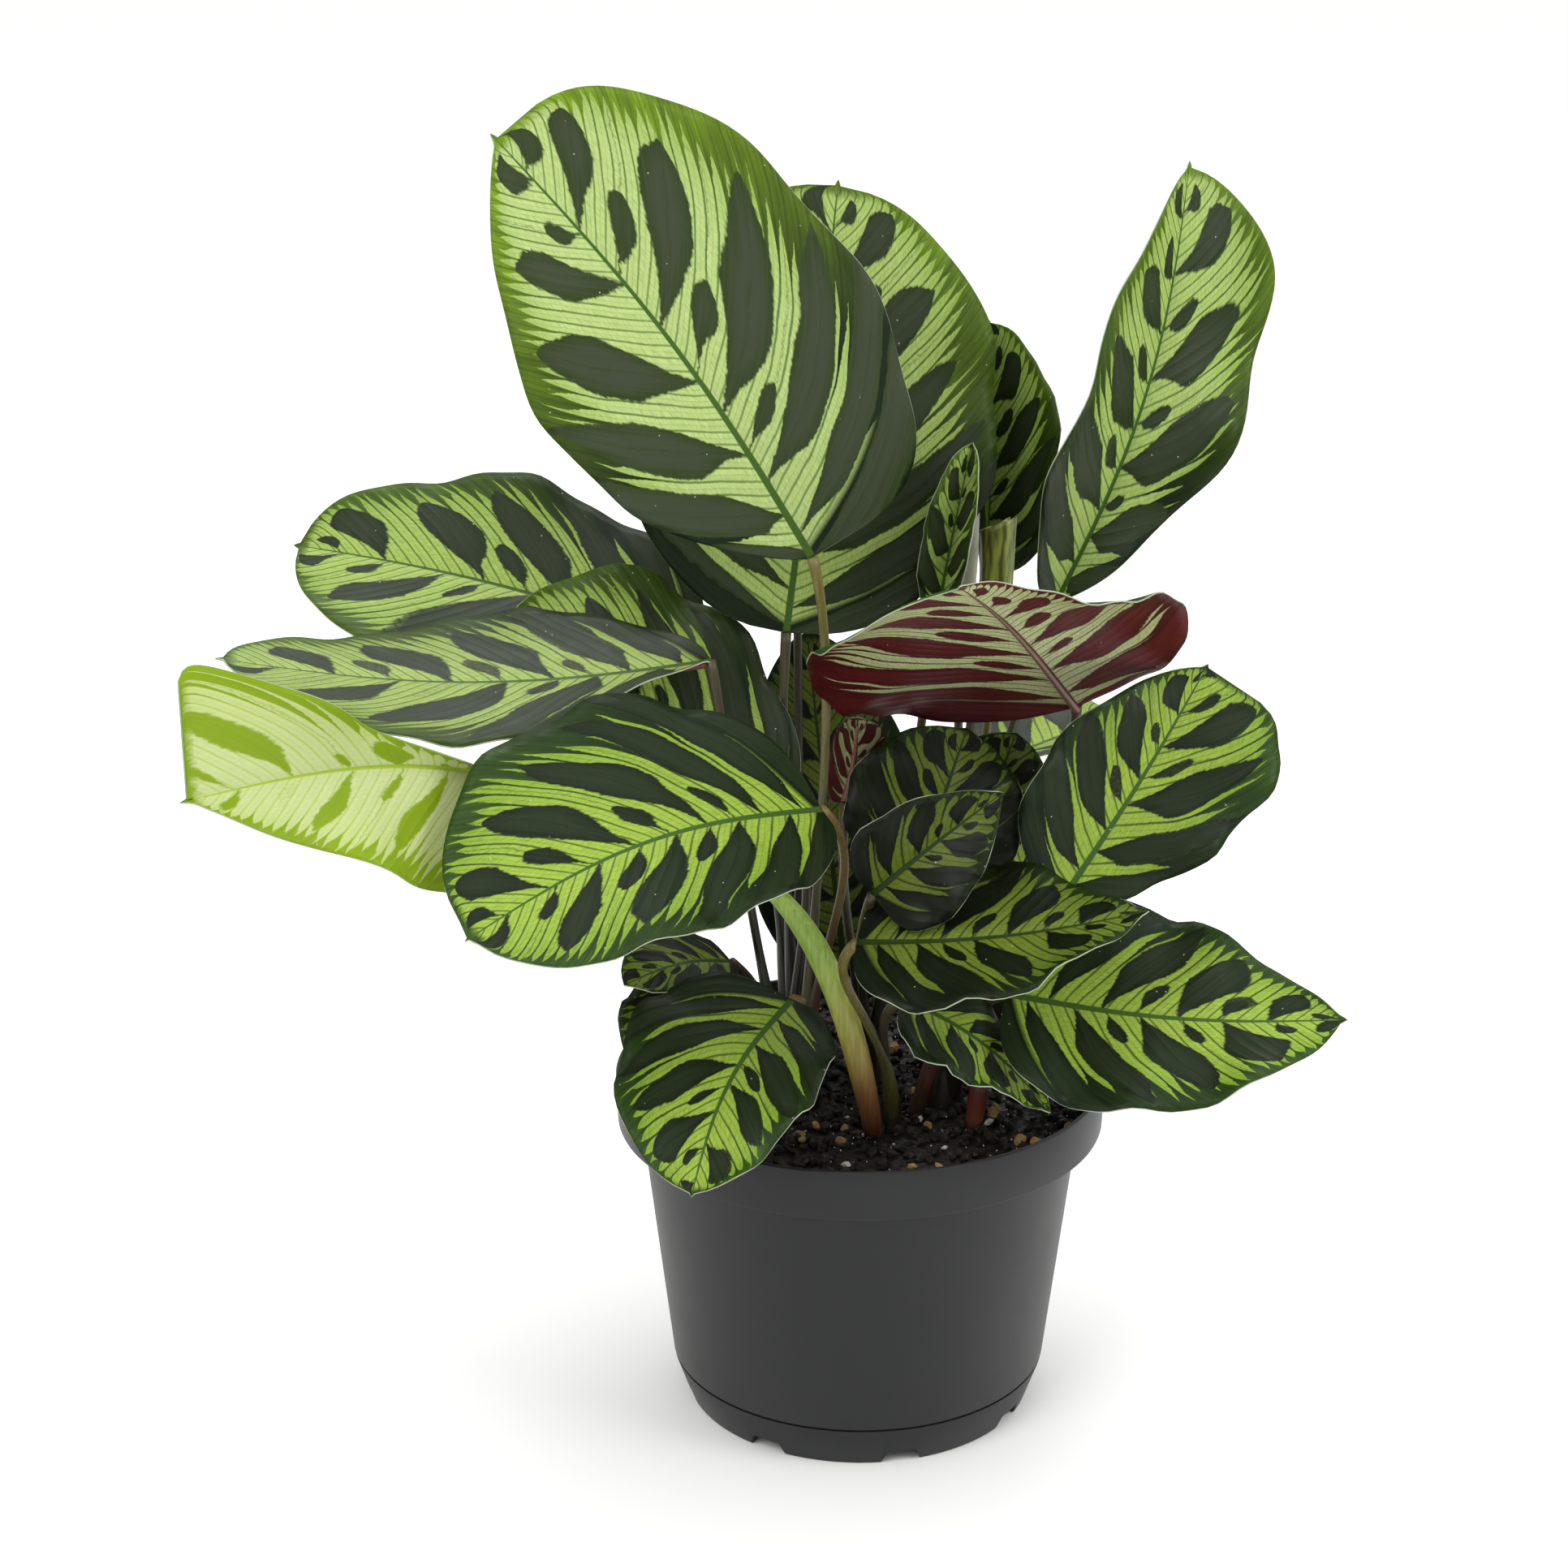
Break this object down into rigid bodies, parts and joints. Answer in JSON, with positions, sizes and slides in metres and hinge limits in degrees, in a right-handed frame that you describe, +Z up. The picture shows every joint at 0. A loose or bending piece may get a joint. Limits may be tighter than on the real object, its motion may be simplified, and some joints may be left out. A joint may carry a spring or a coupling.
{
  "type": "potted peacock plant",
  "caption": "Leafy peacock plant in a tapered round nursery pot, with broad oval leaves on slim stalks that spread from a full pot of soil",
  "frame": {"origin": "centre of the pot's base, on the surface that the pot stands on", "axes": "+Z up, -Y towards the plant's front, the side that faces the viewer, and +X to the viewer's right"},
  "size_m": [0.3512, 0.2688, 0.4494],
  "materials": {
    "pot": "satin black polypropylene",
    "soil": "loose damp peat mix with perlite grains",
    "leaf": "satin leaf, patterned pale and dark green above and maroon below",
    "young_leaf": "satin young leaf, pale yellow-green",
    "rolled_leaf": "satin rolled leaf, olive green",
    "pale_sheath": "dry papery sheath",
    "stalk": "matt brown-green stalk",
    "old_stalk": "matt dry red-brown stalk"
  },
  "bodies": {
    "root": {"pot": "pot", "soil": "soil", "leaf_top_left": "leaf", "leaf_top_middle": "leaf", "leaf_top_behind": "leaf", "leaf_top_right": "leaf", "leaf_furled_small": "leaf", "leaf_arched_over": "leaf", "leaf_turned_away": "leaf", "leaf_right": "leaf", "leaf_middle": "leaf", "leaf_small_front": "leaf", "leaf_front_right": "leaf", "leaf_low_right": "leaf", "leaf_low_centre": "leaf", "leaf_low_shaded": "leaf", "leaf_front_left": "leaf", "leaf_over_rim": "leaf", "leaf_rim_left": "leaf", "leaf_low_left": "leaf", "leaf_upper_left": "leaf", "leaf_left_inner": "leaf", "leaf_left_flat": "leaf", "leaf_young": "young_leaf", "leaf_inner_right": "leaf", "leaf_back_left": "leaf", "leaf_back_middle": "leaf", "leaf_back_right": "leaf", "leaf_back_tall": "leaf", "leaf_back_far_left": "leaf", "leaf_back_low_right": "leaf", "leaf_rolled": "rolled_leaf", "leaf_sheath_pale": "pale_sheath", "shoot_left": "stalk", "shoot_young": "stalk", "shoot_front": "stalk", "shoot_right": "stalk", "shoot_back_left": "stalk", "shoot_back_right": "stalk", "shoot_middle": "stalk", "old_stalk_red": "old_stalk", "old_stalk_brown": "old_stalk"}
  },
  "joints": []
}
